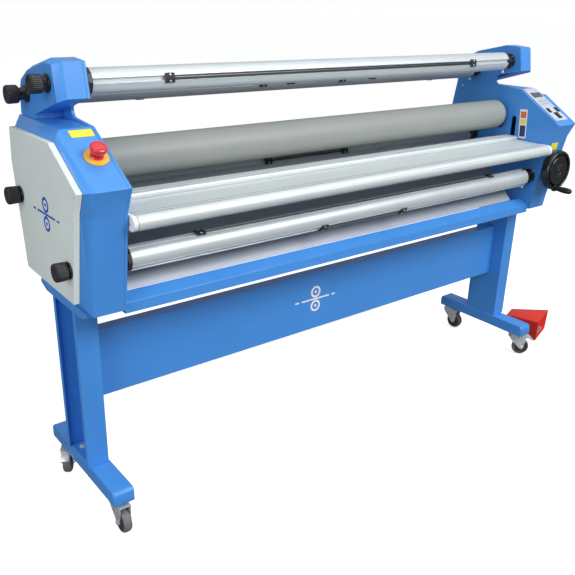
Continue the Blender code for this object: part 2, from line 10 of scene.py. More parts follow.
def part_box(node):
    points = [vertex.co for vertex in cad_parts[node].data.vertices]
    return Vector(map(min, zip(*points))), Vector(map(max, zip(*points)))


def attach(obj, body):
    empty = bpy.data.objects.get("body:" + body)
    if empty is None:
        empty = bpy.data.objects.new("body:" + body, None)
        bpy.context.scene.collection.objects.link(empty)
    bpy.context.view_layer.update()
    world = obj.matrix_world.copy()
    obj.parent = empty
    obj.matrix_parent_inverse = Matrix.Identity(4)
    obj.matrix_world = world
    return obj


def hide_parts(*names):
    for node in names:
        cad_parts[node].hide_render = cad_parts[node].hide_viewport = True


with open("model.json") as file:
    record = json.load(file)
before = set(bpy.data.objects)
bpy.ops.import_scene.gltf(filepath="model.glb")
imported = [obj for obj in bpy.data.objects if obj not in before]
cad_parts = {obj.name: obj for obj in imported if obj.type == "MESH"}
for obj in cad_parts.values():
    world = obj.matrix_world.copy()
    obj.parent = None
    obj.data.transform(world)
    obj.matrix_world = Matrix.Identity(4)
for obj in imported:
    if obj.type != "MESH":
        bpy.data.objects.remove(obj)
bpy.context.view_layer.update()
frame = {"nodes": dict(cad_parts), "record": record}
RECORD = frame["record"]
BODY_OF = {node: body for body, nodes in RECORD["behaviour"]["bodies"].items() for node in nodes}
TAU = 2 * math.pi
GAP = 0.0003

SHAFTS = ("upper_front", "upper_rear", "lower_front", "lower_rear")
SLOT_TURN = {"upper_front": 175, "upper_rear": 185, "lower_front": 220, "lower_rear": 165}
CASTORS = ("front_left", "rear_left", "front_right", "rear_right")


# ---- places taken from the frame
def low(node):
    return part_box(node)[0]


def high(node):
    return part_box(node)[1]


def middle(node):
    lo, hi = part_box(node)
    return (lo + hi) / 2


CENTRE_X = middle("top_roller").x
KNOB_AXES = [middle(key + "_tension_knob") for key in SHAFTS]
PANEL_THICKNESS = 0.0030
PANEL_LENGTH = 0.188


def slope_up():
    """Up-slope direction of the towers' sloped faces, from the box of the thin control panel lying on one."""
    rise = high("control_panel").z - low("control_panel").z
    angle = (math.asin(rise / math.hypot(PANEL_LENGTH, PANEL_THICKNESS))
             - math.atan2(PANEL_THICKNESS, PANEL_LENGTH))
    return Vector((0, math.cos(angle), math.sin(angle)))


SLOPE_UP = slope_up()
SLOPE_NORMAL = Vector((0, -SLOPE_UP.z, SLOPE_UP.y))
SLOPE_TURN = Matrix((Vector((1, 0, 0)), SLOPE_UP, SLOPE_NORMAL)).transposed().to_4x4()


def slope_point(node):
    """The point on the slope itself under the middle of the vertices of a node that stands on it."""
    co = [v.co.copy() for v in frame["nodes"][node].data.vertices]
    base = min(v.dot(SLOPE_NORMAL) for v in co)
    mid = sum(co, Vector()) / len(co)
    return mid + SLOPE_NORMAL * (base - mid.dot(SLOPE_NORMAL))


def axis_point(node):
    """The point on the slope under the middle of the box of a node that stands on it."""
    co = [v.co.copy() for v in frame["nodes"][node].data.vertices]
    along_up = [v.dot(SLOPE_UP) for v in co]
    base = min(v.dot(SLOPE_NORMAL) for v in co)
    return (Vector((middle(node).x, 0, 0)) + SLOPE_UP * ((min(along_up) + max(along_up)) / 2)
            + SLOPE_NORMAL * base)


# ---- materials
def node_of(tree, kind, **values):
    made = tree.nodes.new(kind)
    for key, value in values.items():
        if hasattr(made, key):
            setattr(made, key, value)
        else:
            made.inputs[key.replace("_", " ")].default_value = value
    return made


def surface(name, colour, rough, metallic=0.0, spread=0.05, patch=6.0, grain=700.0, bump=0.05, stretch=(1, 1, 1),
            rough_spread=0.06, coat=0.0, stain=None, stain_share=0.0, ior=1.5):
    """A Principled material whose colour, roughness and fine relief vary over the surface.

    patch is the size of the broad colour noise, grain that of the fine relief, and stretch draws the grain out
    along an axis, as brushing does. stain is a second colour that shows in stain_share of the broad noise."""
    mat = bpy.data.materials.new(name)
    mat.use_nodes = True
    mat.diffuse_color = (*colour, 1.0)
    tree = mat.node_tree
    shader = tree.nodes["Principled BSDF"]
    shader.inputs["Metallic"].default_value = metallic
    shader.inputs["Coat Weight"].default_value = coat
    shader.inputs["IOR"].default_value = ior
    place = node_of(tree, "ShaderNodeTexCoord")
    mapping = node_of(tree, "ShaderNodeMapping", Scale=stretch)
    link = tree.links.new
    link(place.outputs["Object"], mapping.inputs["Vector"])

    broad = node_of(tree, "ShaderNodeTexNoise", Scale=patch, Detail=6.0, Roughness=0.6)
    fine = node_of(tree, "ShaderNodeTexNoise", Scale=grain, Detail=3.0, Roughness=0.6)
    link(place.outputs["Object"], broad.inputs["Vector"])
    link(mapping.outputs["Vector"], fine.inputs["Vector"])

    tint = node_of(tree, "ShaderNodeValToRGB")
    dark = [channel * (1 - spread) for channel in colour]
    light = [min(1.0, channel * (1 + spread)) for channel in colour]
    tint.color_ramp.elements[0].position = 0.3
    tint.color_ramp.elements[0].color = (*dark, 1)
    tint.color_ramp.elements[1].position = 0.7
    tint.color_ramp.elements[1].color = (*light, 1)
    if stain:
        spot = tint.color_ramp.elements.new(0.3 + stain_share * 0.2)
        spot.color = (*dark, 1)
        tint.color_ramp.elements[0].color = (*stain, 1)
    link(broad.outputs["Fac"], tint.inputs["Fac"])
    speck = node_of(tree, "ShaderNodeMix", data_type="RGBA", blend_type="MULTIPLY")
    grey = node_of(tree, "ShaderNodeMapRange", To_Min=1 - spread, To_Max=1 + spread * 0.4)
    link(fine.outputs["Fac"], grey.inputs["Value"])
    speck.inputs["Factor"].default_value = 1.0
    link(tint.outputs["Color"], speck.inputs["A"])
    link(grey.outputs["Result"], speck.inputs["B"])
    link(speck.outputs["Result"], shader.inputs["Base Color"])

    gloss = node_of(tree, "ShaderNodeMapRange", From_Min=0.3, From_Max=0.7,
                    To_Min=max(0.02, rough - rough_spread), To_Max=min(1.0, rough + rough_spread))
    link(broad.outputs["Fac"], gloss.inputs["Value"])
    link(gloss.outputs["Result"], shader.inputs["Roughness"])

    relief = node_of(tree, "ShaderNodeBump", Strength=bump, Distance=0.001)
    link(fine.outputs["Fac"], relief.inputs["Height"])
    link(relief.outputs["Normal"], shader.inputs["Normal"])
    return mat


BLUE = surface("blue_paint", (0.058, 0.285, 0.765), 0.36, spread=0.035, patch=4.0, grain=900, bump=0.10,
               rough_spread=0.05, coat=0.25)
COVER = surface("cover_paint", (0.700, 0.780, 0.765), 0.48, spread=0.02, patch=3.0, grain=1100, bump=0.10)
TUBE = surface("film_aluminium", (0.62, 0.68, 0.71), 0.44, 0.40, spread=0.02, patch=9, grain=260,
               bump=0.006, stretch=(0.02, 1, 1), rough_spread=0.03)
TABLE = surface("table_aluminium", (0.70, 0.76, 0.77), 0.44, 0.32, spread=0.015, patch=5, grain=300,
                bump=0.006, stretch=(0.015, 1, 1), rough_spread=0.03)
TRAY = surface("tray_sheet", (0.46, 0.50, 0.56), 0.45, 0.35, spread=0.03, patch=4, grain=500, bump=0.02)
SILICONE = surface("roller_silicone", (0.290, 0.310, 0.296), 0.52, spread=0.035, patch=5, grain=1300, bump=0.07,
                   stretch=(0.25, 1, 1), rough_spread=0.05)
PLASTIC = surface("black_plastic", (0.017, 0.018, 0.020), 0.42, spread=0.15, patch=30, grain=1500, bump=0.22)
GLOSS = surface("gloss_black", (0.006, 0.007, 0.008), 0.30, spread=0.15, patch=20, grain=1200, bump=0.08,
                coat=0.3)
RUBBER = surface("wedge_rubber", (0.022, 0.022, 0.024), 0.62, spread=0.2, patch=60, grain=1800, bump=0.3)
STEEL = surface("steel", (0.60, 0.62, 0.64), 0.30, 0.75, spread=0.05, patch=40, grain=900, bump=0.08)
ZINC = surface("zinc", (0.72, 0.76, 0.77), 0.30, 0.45, spread=0.07, patch=55, grain=700, bump=0.10,
               rough_spread=0.08, stain=(0.50, 0.54, 0.55), stain_share=0.5)
DARK_STEEL = surface("rod_steel", (0.12, 0.125, 0.135), 0.36, 0.85, spread=0.1, patch=25, grain=600, bump=0.06)
RED = surface("stop_red", (0.72, 0.030, 0.045), 0.27, spread=0.05, patch=35, grain=1000, bump=0.04, coat=0.35)
RING = surface("stop_ring", (0.93, 0.50, 0.055), 0.36, spread=0.05, patch=40, grain=1100, bump=0.06)
SWITCH = surface("switch_red", (0.90, 0.036, 0.022), 0.40, spread=0.06, patch=16, grain=900, bump=0.10)
PANEL = surface("panel_white", (0.52, 0.58, 0.66), 0.46, spread=0.02, patch=20, grain=1500, bump=0.06)
PRINT_GREY = surface("panel_print", (0.36, 0.39, 0.43), 0.48, spread=0.04, patch=40, grain=1500, bump=0.05)
DISPLAY = surface("display", (0.085, 0.095, 0.105), 0.12, spread=0.1, patch=60, grain=1500, bump=0.01, coat=0.5)
LABEL_LOOK = {"rough": 0.5, "patch": 50, "grain": 1600, "bump": 0.05}
YELLOW = surface("label_yellow", (0.88, 0.80, 0.05), spread=0.03, **LABEL_LOOK)
WHITE = surface("label_white", (0.86, 0.87, 0.88), spread=0.02, **LABEL_LOOK)
ORANGE = surface("label_orange", (0.85, 0.14, 0.03), spread=0.03, **LABEL_LOOK)
NAVY = surface("label_navy", (0.030, 0.045, 0.13), spread=0.06, **LABEL_LOOK)
MARK_LOOK = {"rough": 0.45, "patch": 40, "grain": 1400, "bump": 0.05}
MARK_BLUE = surface("mark_blue", (0.010, 0.090, 0.520), spread=0.04, **MARK_LOOK)
MARK_WHITE = surface("mark_white", (0.88, 0.90, 0.92), spread=0.02, **MARK_LOOK)
TREAD = surface("wheel_tread", (0.200, 0.185, 0.195), 0.58, spread=0.12, patch=45, grain=900, bump=0.22,
                stain=(0.30, 0.285, 0.28), stain_share=0.5)
HUB = surface("wheel_hub", (0.050, 0.048, 0.050), 0.5, spread=0.15, patch=50, grain=1200, bump=0.15)
MOTOR = surface("motor_black", (0.030, 0.031, 0.034), 0.44, 0.2, spread=0.12, patch=20, grain=900, bump=0.15)
FLOOR = surface("floor", (0.92, 0.92, 0.92), 0.9, spread=0.006, patch=0.6, grain=30, bump=0.02)


# ---- making meshes
def mesh_piece(name, bm, material, smooth=35):
    bmesh.ops.recalc_face_normals(bm, faces=bm.faces)
    mesh = bpy.data.meshes.new(name)
    bm.to_mesh(mesh)
    bm.free()
    mesh.materials.append(material)
    piece = bpy.data.objects.new(name, mesh)
    bpy.context.scene.collection.objects.link(piece)
    if smooth:
        mesh.shade_smooth()
        mesh.set_sharp_from_angle(angle=math.radians(smooth))
    return piece


def belongs(piece, node, replaces=True):
    """The piece moves with the node's body, and stands for it where replaces is set."""
    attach(piece, BODY_OF[node])
    if replaces:
        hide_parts(node)
    return piece


def soften(piece, width, segments=2, angle=28):
    edge = piece.modifiers.new("soft edges", "BEVEL")
    edge.width = width
    edge.segments = segments
    edge.limit_method = "ANGLE"
    edge.angle_limit = math.radians(angle)
    edge.harden_normals = True
    return piece


def rounded_copy(node, width, material, segments=2, angle=28):
    """The node's own shape, welded, with its edges rounded as folded or moulded edges are."""
    bm = bmesh.new()
    bm.from_mesh(frame["nodes"][node].data)
    for layer in list(bm.loops.layers.float_vector) + list(bm.loops.layers.uv):
        if layer.name == "custom_normal":
            bm.loops.layers.float_vector.remove(layer)
    bmesh.ops.remove_doubles(bm, verts=bm.verts, dist=0.00001)
    bmesh.ops.dissolve_limit(bm, angle_limit=math.radians(0.6), verts=bm.verts, edges=bm.edges)
    piece = mesh_piece(node + "_skin", bm, material, 40)
    soften(piece, width, segments, angle)
    return belongs(piece, node)


def frame_from(axis, up=(0.0, 0.0, 1.0)):
    """Rotation whose local Z is the axis and whose local Y is as near to up as it can be."""
    z = Vector(axis).normalized()
    up = Vector(up)
    if abs(z.dot(up)) > 0.99:
        up = Vector((0.0, 1.0, 0.0))
    x = up.cross(z).normalized()
    return Matrix((x, z.cross(x), z)).transposed().to_4x4()


def revolve(bm, profile, place, steps=48, shape=None, ring=False):
    """Adds a turned shape: profile is (radius, along) pairs, place puts local Z on its axis.

    shape(radius, along, angle) may alter the radius round the turn. A ring's profile closes on itself."""
    rings = []
    for radius, along in profile:
        if radius < 1e-6:
            rings.append([bm.verts.new(place @ Vector((0.0, 0.0, along)))])
            continue
        verts = []
        for step in range(steps):
            angle = TAU * step / steps
            r = shape(radius, along, angle) if shape else radius
            verts.append(bm.verts.new(place @ Vector((r * math.cos(angle), r * math.sin(angle), along))))
        rings.append(verts)
    pairs = list(zip(rings, rings[1:]))
    if ring:
        pairs.append((rings[-1], rings[0]))
    for one, two in pairs:
        for step in range(steps):
            after = (step + 1) % steps
            if len(one) == 1 and len(two) == 1:
                continue
            if len(one) == 1:
                bm.faces.new((one[0], two[step], two[after]))
            elif len(two) == 1:
                bm.faces.new((one[step], two[0], one[after]))
            else:
                bm.faces.new((one[step], two[step], two[after], one[after]))
    return bm


def turned(name, profile, axis, at, material, steps=48, shape=None, ring=False, smooth=35):
    place = Matrix.Translation(at) @ frame_from(axis)
    return mesh_piece(name, revolve(bmesh.new(), profile, place, steps, shape, ring), material, smooth)


def on_axis(name, profile, at, material, node, replaces=False, slot=None, axis=(1, 0, 0), **how):
    """A turned piece on the node's body. Along X, at's own X is added to the profile's."""
    return belongs(turned(name, profile, axis, at, material, **how), node, replaces)


def rounded_profile(points, radius, count=3):
    """The open profile with each inner corner rounded by up to radius."""
    out = [points[0]]
    for before, corner, after in zip(points, points[1:], points[2:]):
        a, b, c = Vector(before), Vector(corner), Vector(after)
        reach = min(radius, (a - b).length * 0.45, (c - b).length * 0.45)
        start = b + (a - b).normalized() * reach
        end = b + (c - b).normalized() * reach
        for i in range(count + 1):
            t = i / count
            point = start * (1 - t) ** 2 + b * 2 * t * (1 - t) + end * t * t
            out.append((point.x, point.y))
    return out + [points[-1]]


def prism(bm, outline, place, start, end):
    """Adds an outline in local X, Y, extruded along local Z from start to end."""
    count = len(outline)
    caps = []
    for along in (start, end):
        caps.append([bm.verts.new(place @ Vector((x, y, along))) for x, y in outline])
    bm.faces.new(caps[0])
    bm.faces.new(caps[1])
    for i in range(count):
        after = (i + 1) % count
        bm.faces.new((caps[0][i], caps[0][after], caps[1][after], caps[1][i]))
    return bm


def band(bm, place, rings):
    """Adds a ring that joins closed outlines, given as (outline, height), and closes on itself."""
    loops = [[bm.verts.new(place @ Vector((x, y, height))) for x, y in outline] for outline, height in rings]
    for one, two in zip(loops, loops[1:] + loops[:1]):
        for i in range(len(one)):
            after = (i + 1) % len(one)
            bm.faces.new((one[i], one[after], two[after], two[i]))
    return bm


def arc(centre, radius, start, end, count):
    turns = [math.radians(start + (end - start) * i / (count - 1)) for i in range(count)]
    return [(centre[0] + radius * math.cos(t), centre[1] + radius * math.sin(t)) for t in turns]


def rounded_box(half_x, half_y, radius, at=(0.0, 0.0), count=5):
    x, y = at
    corners = [(half_x, half_y, 0), (-half_x, half_y, 90), (-half_x, -half_y, 180), (half_x, -half_y, 270)]
    points = []
    for cx, cy, turn in corners:
        centre = (x + cx - math.copysign(radius, cx), y + cy - math.copysign(radius, cy))
        points += arc(centre, radius, turn, turn + 90, count)
    return points


def along_x(at=(0.0, 0.0, 0.0)):
    """Local X, Y are world Y, Z, and local Z is world X."""
    return Matrix.Translation(at) @ Matrix(((0, 0, 1, 0), (1, 0, 0, 0), (0, 1, 0, 0), (0, 0, 0, 1)))


def hexagon(radius, angle):
    return radius * math.cos(math.pi / 6) / math.cos((angle % (TAU / 6)) - math.pi / 6)


def add_screw(bm, at, normal, radius=0.0040):
    """A domed socket screw head standing on the surface at that point."""
    high_edge = radius * 0.55
    socket = radius * 0.5
    profile = [(radius, 0.0), (radius, high_edge * 0.35), (radius * 0.82, high_edge * 0.8),
               (socket * 1.25, high_edge), (socket, high_edge), (socket * 0.98, high_edge * 0.25),
               (0.0, high_edge * 0.2)]

    def socket_shape(r, along, angle):
        return hexagon(r, angle) if r <= socket else r

    revolve(bm, profile, Matrix.Translation(at) @ frame_from(normal), 24, socket_shape)


def add_bolt(bm, at, axis, washer, head, top):
    """A hexagonal head on a round washer. Each of the three is its (radius, height)."""
    step = 0.0001

    def shape(r, along, angle):
        return hexagon(r, angle) if along > washer[1] + step / 2 and r > 0.001 else r

    profile = [(washer[0], 0.0), washer, (head[0], washer[1] + step), head, top, (0.0, top[1])]
    revolve(bm, profile, Matrix.Translation(at) @ frame_from(axis), 24, shape)


def screws(name, spots, node, radius=0.0040, material=None):
    bm = bmesh.new()
    for at, normal in spots:
        add_screw(bm, Vector(at), normal, radius)
    return belongs(mesh_piece(name, bm, material or STEEL), node, False)


# ---- stand and sheet metal
def make_sheet_metal():
    for side in ("left", "right"):
        rounded_copy(side + "_leg", 0.0012, BLUE)
        rounded_copy(side + "_foot_bar", 0.0008, BLUE, 2, 20)
        rounded_copy(side + "_side_plate", 0.0008, BLUE)
        rounded_copy(side + "_housing_shell", 0.0008, BLUE, 2, 24)
        rounded_copy(side + "_head_shell", 0.0009, BLUE, 3, 12)
        rounded_copy(side + "_side_cover", 0.0007, COVER if side == "left" else BLUE, 3, 20)
    rounded_copy("modesty_panel", 0.0010, BLUE)
    rounded_copy("front_beam", 0.0010, BLUE)
    rounded_copy("rear_beam", 0.0010, BLUE)
    rounded_copy("film_tray", 0.0004, TRAY)
    make_tray_fold()
    for side in ("left", "right"):
        rounded_copy(side + "_bearing_block", 0.0010, STEEL)


def make_tray_fold():
    """The upright fold along the tray's upper edge."""
    lo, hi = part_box("film_tray")
    back, front, bottom, top = hi.y - 0.0010, hi.y - 0.0024, hi.z - 0.0012, hi.z + 0.0100
    edge = [(front, bottom), (back, bottom), (back, top), (front, top)]
    fold = mesh_piece("film_tray_fold", prism(bmesh.new(), edge, along_x(), lo.x + 0.001, hi.x - 0.001), TRAY)
    belongs(soften(fold, 0.0003), "film_tray", False)


def face_corners(node, towards):
    """The x of the node's outer flat face on that side, its corners (y, z) in turn, and its middle.

    Vertices round a knob's hole aren't corners of the face."""
    lo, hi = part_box(node)
    plane = hi.x if towards > 0 else lo.x
    corners = {(round(v.co.y, 3), round(v.co.z, 3)) for v in frame["nodes"][node].data.vertices
               if abs(v.co.x - plane) < 0.0004}
    edge = [(y, z) for y, z in corners if not any(abs(y - hole.y) < 0.009 and abs(z - hole.z) < 0.009
                                                  for hole in KNOB_AXES)]
    mid_y, mid_z = (lo.y + hi.y) / 2, (lo.z + hi.z) / 2
    return plane, sorted(edge, key=lambda p: math.atan2(p[1] - mid_z, p[0] - mid_y)), Vector((0, mid_y, mid_z))


def make_cover_screws():
    """One screw near each corner of a side cover and one more halfway along its long edges."""
    inset = 0.011
    long_edge = 0.15
    for side, towards in (("left", -1), ("right", 1)):
        node = side + "_side_cover"
        x, corners, mid = face_corners(node, towards)
        spots = []
        for (y0, z0), (y1, z1) in zip(corners, corners[1:] + corners[:1]):
            shares = [0.08] if math.hypot(y1 - y0, z1 - z0) < long_edge else [0.06, 0.55]
            for share in shares:
                spot = Vector((0, y0 + (y1 - y0) * share, z0 + (z1 - z0) * share))
                spot += (mid - spot).normalized() * inset
                spots.append(((x, spot.y, spot.z), (towards, 0, 0)))
        screws(side + "_cover_screws", spots, node, 0.0026, ZINC)


def make_plate_screws():
    """Screws through the inner plates: (distance behind the plate's front edge, height)."""
    places = [(0.375, 1.1640), (0.462, 1.080), (0.085, 0.853), (0.080, 0.800), (0.400, 0.760), (0.445, 0.960)]
    for side, towards in (("left", 1), ("right", -1)):
        node = side + "_side_plate"
        x = high(node).x if towards > 0 else low(node).x
        spots = [((x, low(node).y + back, z), (towards, 0, 0)) for back, z in places]
        screws(side + "_plate_screws", spots, node, 0.0046)


def make_stand_bolts():
    """Bolts down through the floor bars, and those of the modesty panel in each leg's open side."""
    for side, towards in (("left", -1), ("right", 1)):
        foot = side + "_foot_bar"
        mid = middle(foot)
        bm = bmesh.new()
        for y in (mid.y - 0.045, mid.y + 0.045):
            add_bolt(bm, (mid.x + towards * 0.004, y, high(foot).z), (0, 0, 1), (0.0105, 0.0015),
                     (0.0075, 0.0062), (0.0064, 0.0070))
        belongs(mesh_piece(side + "_foot_bolts", bm, ZINC), foot, False)

        leg = side + "_leg"
        wall_x = (high(leg).x if towards < 0 else low(leg).x) + towards * 0.003
        panel_lo, panel_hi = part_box("modesty_panel")
        bm = bmesh.new()
        for z in (panel_lo.z + 0.025, panel_hi.z - 0.025):
            add_bolt(bm, (wall_x, panel_lo.y + 0.03, z), (towards, 0, 0), (0.0095, 0.0014), (0.0068, 0.0056),
                     (0.0058, 0.0062))
        belongs(mesh_piece(side + "_panel_bolts", bm, ZINC), leg, False)


# ---- labels and marks
def label(name, place, half_x, half_y, material, node, thick=0.0003, radius=0.002, lift=0.0001):
    bm = prism(bmesh.new(), rounded_box(half_x, half_y, radius), place, lift, lift + thick)
    return belongs(mesh_piece(name, bm, material, 0), node, False)


def make_mark(name, place, scale, material, node):
    """A plain sign for a roll laminator: two rollers with a sheet passing between them."""
    bm = bmesh.new()
    for y in (0.30, -0.30):
        outer, inner = 0.25 * scale, 0.16 * scale
        ring = [(outer, 0.0001), (outer, 0.0004), (inner, 0.0004), (inner, 0.0001)]
        revolve(bm, ring, place @ Matrix.Translation((0.0, y * scale, 0.0)), 40, None, True)
        dot = [(0.0, 0.0004), (0.06 * scale, 0.0004), (0.06 * scale, 0.0001), (0.0, 0.0001)]
        revolve(bm, dot, place @ Matrix.Translation((0.0, y * scale, 0.0)), 20)
    prism(bm, rounded_box(0.72 * scale, 0.034 * scale, 0.025 * scale), place, 0.0001, 0.0004)
    for x in (-0.95, 0.95):
        dash = rounded_box(0.10 * scale, 0.034 * scale, 0.025 * scale, (x * scale, 0.0))
        prism(bm, dash, place, 0.0001, 0.0004)
    return belongs(mesh_piece(name, bm, material, 0), node, False)


OUT_OF_LEFT = Matrix(((0, 0, -1, 0), (-1, 0, 0, 0), (0, 1, 0, 0), (0, 0, 0, 1)))     # flat on a face to -X
OUT_OF_FRONT = Matrix(((1, 0, 0, 0), (0, 0, -1, 0), (0, 1, 0, 0), (0, 0, 0, 1)))     # flat on a face to -Y


def make_slope_labels():
    """A yellow plate above the stop button, and one on the right tower's face under the slope."""
    base = slope_point("emergency_stop_base")
    label("slope_label", Matrix.Translation(base + SLOPE_UP * 0.0870) @ SLOPE_TURN, 0.029, 0.0130, YELLOW,
          "left_housing_shell")
    lean, rise = -0.039, 0.262
    face_up = Vector((0, lean, rise)).normalized()
    face_normal = Vector((0, -face_up.z, face_up.y))
    face_turn = Matrix((Vector((1, 0, 0)), face_up, face_normal)).transposed().to_4x4()
    at = Vector((middle("handwheel").x - 0.003, low("right_housing_shell").y + 0.0341, 0.899))
    label("right_face_label", Matrix.Translation(at) @ face_turn, 0.021, 0.0135, YELLOW,
          "right_housing_shell")


def make_plate_label():
    """A white plate with plain colour fields on the inner face of the right side plate."""
    node = "right_side_plate"
    at = Vector((low(node).x, low(node).y + 0.155, 0.969))
    place = Matrix.Translation(at) @ OUT_OF_LEFT @ Matrix.Rotation(0.07, 4, "Z")
    label("plate_label", place, 0.0165, 0.0540, WHITE, node)
    fields = [("orange", ORANGE, 0.034, 0.0120, "stop_red"), ("yellow", YELLOW, 0.008, 0.0085, "stop_ring"),
              ("navy", NAVY, -0.027, 0.0210, "black_plastic")]
    for key, material, up_by, half, slot in fields:
        label("plate_label_" + key, place @ Matrix.Translation((0, up_by, 0)), 0.0120, half, material,
              node, 0.0002, 0.0012, 0.0005)


def make_marks():
    cover = "left_side_cover"
    at = (low(cover).x, middle(cover).y - 0.008, 0.888)
    make_mark("left_cover_mark", Matrix.Translation(at) @ OUT_OF_LEFT, 0.080, MARK_BLUE, cover)
    at = (CENTRE_X - 0.085, low("modesty_panel").y, 0.440)
    make_mark("panel_mark", Matrix.Translation(at) @ OUT_OF_FRONT, 0.085, MARK_WHITE, "modesty_panel")


# ---- rollers
def make_rollers():
    half = 0.825
    for node in ("top_roller", "lower_roller"):
        lo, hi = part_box(node)
        at = Vector((CENTRE_X, middle(node).y, middle(node).z))
        r = (hi.z - lo.z) / 2
        sleeve = rounded_profile([(0.021, -half + 0.001), (r - 0.012, -half), (r, -half), (r, half),
                                  (r - 0.012, half), (0.021, half - 0.001)], 0.005, 5)
        on_axis(node + "_sleeve", sleeve, at, SILICONE, node, True, steps=96, ring=True)
        reach = (hi.x - lo.x) / 2
        journal = [(0.0, -reach), (0.0185, -reach), (0.020, -reach + 0.0015), (0.020, -half - 0.012),
                   (0.0208, -half - 0.011), (0.0208, half + 0.011), (0.020, half + 0.012),
                   (0.020, reach - 0.0015), (0.0185, reach), (0.0, reach)]
        on_axis(node + "_journal", journal, at, STEEL, node, slot="steel")


# ---- film shafts
TUBE_R = 0.0325
SLOT_HALF = 0.0060
SLOT_FLOOR = 0.0262
CLAMPS = {   # slot number, first and last clamp along X from the machine's middle
    "upper_front": [(0, -0.63, 0.60), (1, -0.20, 0.14)],
    "upper_rear": [(0, -0.22, 0.11), (1, -0.62, 0.60)],
    "lower_front": [(0, -0.21, 0.13), (2, -0.63, 0.60)],
    "lower_rear": [(0, -0.21, 0.12), (1, -0.62, 0.76)],
}
CLAMP_HALF = 0.0135     # half length along the tube
CLAMP_TURN = 23     # half the angle that a clamp takes of the tube, in degrees


def tube_outline(first):
    """Round tube with three lipped slots."""
    edge = math.degrees(math.asin(SLOT_HALF / TUBE_R))
    lip_r = TUBE_R + 0.0009
    floor_half = SLOT_HALF * 0.82
    slot = [(-SLOT_HALF, 0.030), (-floor_half, SLOT_FLOOR), (floor_half, SLOT_FLOOR), (SLOT_HALF, 0.030)]
    points = []
    for turn in (first, first + 120, first + 240):
        angle = math.radians(turn)
        points += arc((0, 0), TUBE_R, turn - 120 + edge + 4.6, turn - edge - 4.6, 22)
        points += arc((0, 0), lip_r, turn - edge - 3.4, turn - edge - 0.6, 2)
        points += [(depth * math.cos(angle) - across * math.sin(angle),
                    depth * math.sin(angle) + across * math.cos(angle)) for across, depth in slot]
        points += arc((0, 0), lip_r, turn + edge + 0.6, turn + edge + 3.4, 2)
    return points


def make_clamps(node, at, slot, first, last, degrees):
    """A locking rod along one slot, with a rubber saddle clamp and its two screws at each end."""
    tag = node + "_rod_" + str(slot)
    turn = math.radians(degrees)
    rod_at = at + Vector((0, math.cos(turn), math.sin(turn))) * 0.0300
    x0, x1 = CENTRE_X + first, CENTRE_X + last
    on_axis(tag, [(0.0, x0), (0.0042, x0), (0.0042, x1), (0.0, x1)], rod_at, DARK_STEEL, node, slot="steel",
            steps=24)
    saddle = arc((at.y, at.z), TUBE_R + 0.0011, degrees - CLAMP_TURN, degrees + CLAMP_TURN, 14)
    saddle += arc((at.y, at.z), TUBE_R + 0.0054, degrees + CLAMP_TURN - 4, degrees - CLAMP_TURN + 4, 14)
    blocks = bmesh.new()
    heads = bmesh.new()
    for x in (x0, x1):
        prism(blocks, saddle, along_x(), x - CLAMP_HALF, x + CLAMP_HALF)
        for swing in (-12.5, 12.5):
            turn = math.radians(degrees + swing)
            out = Vector((0, math.cos(turn), math.sin(turn)))
            add_screw(heads, at + out * (TUBE_R + 0.0053) + Vector((x, 0, 0)), out, 0.0028)
    clamps = soften(mesh_piece(tag + "_clamps", blocks, RUBBER, 25), 0.0016, 3, 50)
    belongs(clamps, node, False)
    belongs(mesh_piece(tag + "_screws", heads, ZINC), node, False)


def make_shaft(key):
    """Slotted tube with a black flange at the knob end, steel ends and a black ring in the open end."""
    node = key + "_shaft"
    lo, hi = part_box(node)
    at = Vector((0, middle(node).y, middle(node).z))
    hub_x = CENTRE_X - 0.8223
    end_x = CENTRE_X + 0.811
    section = prism(bmesh.new(), tube_outline(SLOT_TURN[key]), along_x(at), hub_x - 0.0180, end_x)
    belongs(soften(mesh_piece(node + "_tube", section, TUBE, 25), 0.0005, 2, 40), node)
    flange = rounded_profile([(0.0, hub_x - 0.0170), (0.030, hub_x - 0.0172), (0.0360, hub_x - 0.0190),
                              (0.0363, hub_x - 0.0290), (0.0330, hub_x - 0.0305), (0.0320, hub_x - 0.0340),
                              (0.0300, hub_x - 0.0350), (0.0, hub_x - 0.0352)], 0.0012)

    def flats(r, along, angle):
        """Ten flats round the flange's rim."""
        return min(r, 0.0338 / math.cos((angle % (TAU / 10)) - math.pi / 10)) if r > 0.032 else r

    on_axis(node + "_flange", flange, at, PLASTIC, node, slot="black_plastic", steps=60, shape=flats,
            smooth=30)
    journal = [(0.0, hi.x), (0.0088, hi.x), (0.0100, hi.x - 0.0012), (0.0100, end_x + 0.0005),
               (0.0150, end_x + 0.0004), (0.0150, end_x - 0.0030), (0.0, end_x - 0.0030)]
    on_axis(node + "_journal", journal, at, STEEL, node, slot="steel", steps=36)
    stub = [(0.0, hub_x - 0.034), (0.0115, hub_x - 0.034), (0.0115, lo.x + 0.001), (0.0105, lo.x), (0.0, lo.x)]
    on_axis(node + "_stub", stub, at, STEEL, node, slot="steel", steps=36)
    end_ring = [(0.0285, end_x - 0.001), (0.0285, end_x + 0.0008), (0.0180, end_x + 0.0008),
                (0.0180, end_x - 0.001)]
    on_axis(node + "_end_ring", end_ring, at, PLASTIC, node, slot="black_plastic", ring=True)
    for slot, first, last in CLAMPS[key]:
        make_clamps(node, at, slot, first, last, SLOT_TURN[key] + 120 * slot)


